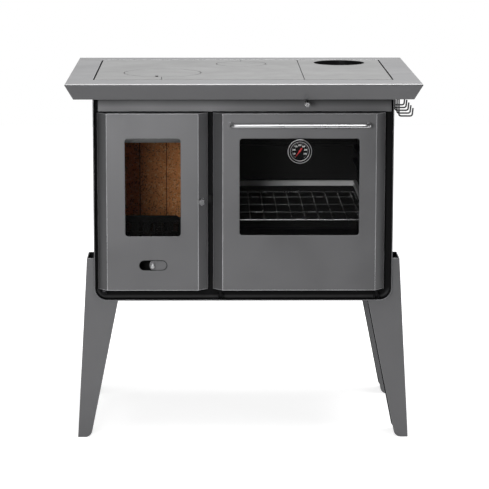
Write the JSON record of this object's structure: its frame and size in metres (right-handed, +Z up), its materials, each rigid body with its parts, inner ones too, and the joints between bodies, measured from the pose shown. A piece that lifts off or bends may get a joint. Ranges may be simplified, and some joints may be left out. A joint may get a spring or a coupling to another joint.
{
  "type": "wood cookstove",
  "caption": "Free-standing grey wood cookstove: glazed firebox door on the left, drop-down oven door on the right, ring-lid hob, flue collar and splayed sheet legs.",
  "frame": {"origin": "on the floor, under the middle of the bounding box", "axes": "+Z up, the doors face -Y, the oven is on the +X side"},
  "size_m": [0.88, 0.68, 0.91],
  "materials": {
    "stove_paint": "satin grey heat-proof paint",
    "dark_paint": "matt black heat-proof paint",
    "hob_iron": "ground cast iron with a grey satin coat",
    "grate_iron": "raw dark casting, a little rough",
    "bare_steel": "plain bright steel",
    "chrome": "polished chrome",
    "board": "pressed vermiculite board, brown and grainy",
    "rope": "braided glass-fibre rope",
    "glass": "clear ceramic glass",
    "needle_paint": "red paint"
  },
  "bodies": {
    "stove": {"top_frame": "stove_paint", "hob_support": "dark_paint", "flue_plate": "hob_iron", "flue_collar": "hob_iron", "casing": "stove_paint", "rear_panel": "stove_paint", "front_strip": "stove_paint", "front_plate": "dark_paint", "firebox_shell": "dark_paint", "back_boards": "board", "side_boards": "board", "grate_frame": "grate_iron", "grate": "grate_iron", "log_retainer": "grate_iron", "oven_box": "dark_paint", "oven_runners": "dark_paint", "oven_stops": "dark_paint", "smoke_box": "dark_paint", "firebox_hinge_brackets": "dark_paint", "latch_keeper": "dark_paint", "oven_hinge_lugs": "dark_paint", "leg_front_left": "stove_paint", "leg_front_right": "stove_paint", "leg_rear_left": "stove_paint", "leg_rear_right": "stove_paint", "leg_bolts": "bare_steel", "hook_rail": "stove_paint", "hooks": "bare_steel"},
    "firebox_door": {"firebox_door_skin": "stove_paint", "firebox_door_frame": "dark_paint", "firebox_seal": "rope", "firebox_glass": "glass", "firebox_glass_frame": "dark_paint", "air_deflector": "bare_steel", "firebox_hinge_pins": "bare_steel", "shutter_guides": "dark_paint"},
    "latch": {"latch_knob": "stove_paint", "latch_shaft": "bare_steel"},
    "air_shutter": {"shutter_plate": "dark_paint", "shutter_pin": "chrome"},
    "oven_door": {"oven_door_skin": "stove_paint", "oven_door_frame": "dark_paint", "oven_seal": "rope", "oven_glass": "glass", "oven_glass_frame": "dark_paint", "oven_handle": "chrome", "oven_hinge_arms": "dark_paint", "thermometer_case": "bare_steel", "thermometer_bezel": "chrome", "thermometer_dial": "dark_paint", "thermometer_lens": "glass"},
    "needle": {"thermometer_needle": "needle_paint"},
    "damper": {"damper_plate": "dark_paint", "damper_rod": "bare_steel", "damper_knob": "chrome"},
    "hob_plate": {"hob_plate": "hob_iron"},
    "front_lid": {"front_lid": "hob_iron"},
    "rear_lid": {"rear_lid": "hob_iron"},
    "oven_rack": {"oven_rack": "chrome"},
    "ash_pan": {"ash_pan": "dark_paint"}
  },
  "joints": [
    {"name": "firebox_door_hinge", "type": "hinge", "parent": "stove", "child": "firebox_door", "pos_m": [-0.35, -0.271, 0.608], "axis": [0, 0, -1], "range_deg": [0, 105]},
    {"name": "latch_turn", "type": "hinge", "parent": "firebox_door", "child": "latch", "pos_m": [-0.104, -0.29, 0.613], "axis": [0, -1, 0], "range_deg": [0, 90]},
    {"name": "air_shutter_slide", "type": "slide", "parent": "firebox_door", "child": "air_shutter", "axis": [1, 0, 0], "range_m": [-0.024, 0.027]},
    {"name": "oven_door_hinge", "type": "hinge", "parent": "stove", "child": "oven_door", "pos_m": [0.14, -0.261, 0.368], "axis": [1, 0, 0], "range_deg": [0, 90], "stiffness_Nm_per_rad": 3, "springref_deg": -28.65},
    {"name": "needle_turn", "type": "hinge", "parent": "oven_door", "child": "needle", "pos_m": [0.13945, -0.2925, 0.7382], "axis": [0, 1, 0], "range_deg": [0, 270]},
    {"name": "damper_slide", "type": "slide", "parent": "stove", "child": "damper", "axis": [0, -1, 0], "range_m": [-0.045, 0.045]},
    {"name": "hob_plate_lift", "type": "slide", "parent": "stove", "child": "hob_plate", "axis": [0, 0, 1], "range_m": [0, 0.1]},
    {"name": "front_lid_lift", "type": "slide", "parent": "hob_plate", "child": "front_lid", "axis": [0, 0, 1], "range_m": [0, 0.1]},
    {"name": "rear_lid_lift", "type": "slide", "parent": "hob_plate", "child": "rear_lid", "axis": [0, 0, 1], "range_m": [0, 0.1]},
    {"name": "oven_rack_slide", "type": "slide", "parent": "stove", "child": "oven_rack", "axis": [0, -1, 0], "range_m": [0, 0.24]},
    {"name": "ash_pan_slide", "type": "slide", "parent": "stove", "child": "ash_pan", "axis": [0, -1, 0], "range_m": [0, 0.15]}
  ],
  "couplings": [
    {"joint": "oven_rack_slide", "follows": "oven_door_hinge", "m_per_rad": 0.15},
    {"joint": "ash_pan_slide", "follows": "firebox_door_hinge", "m_per_rad": 0.08}
  ]
}
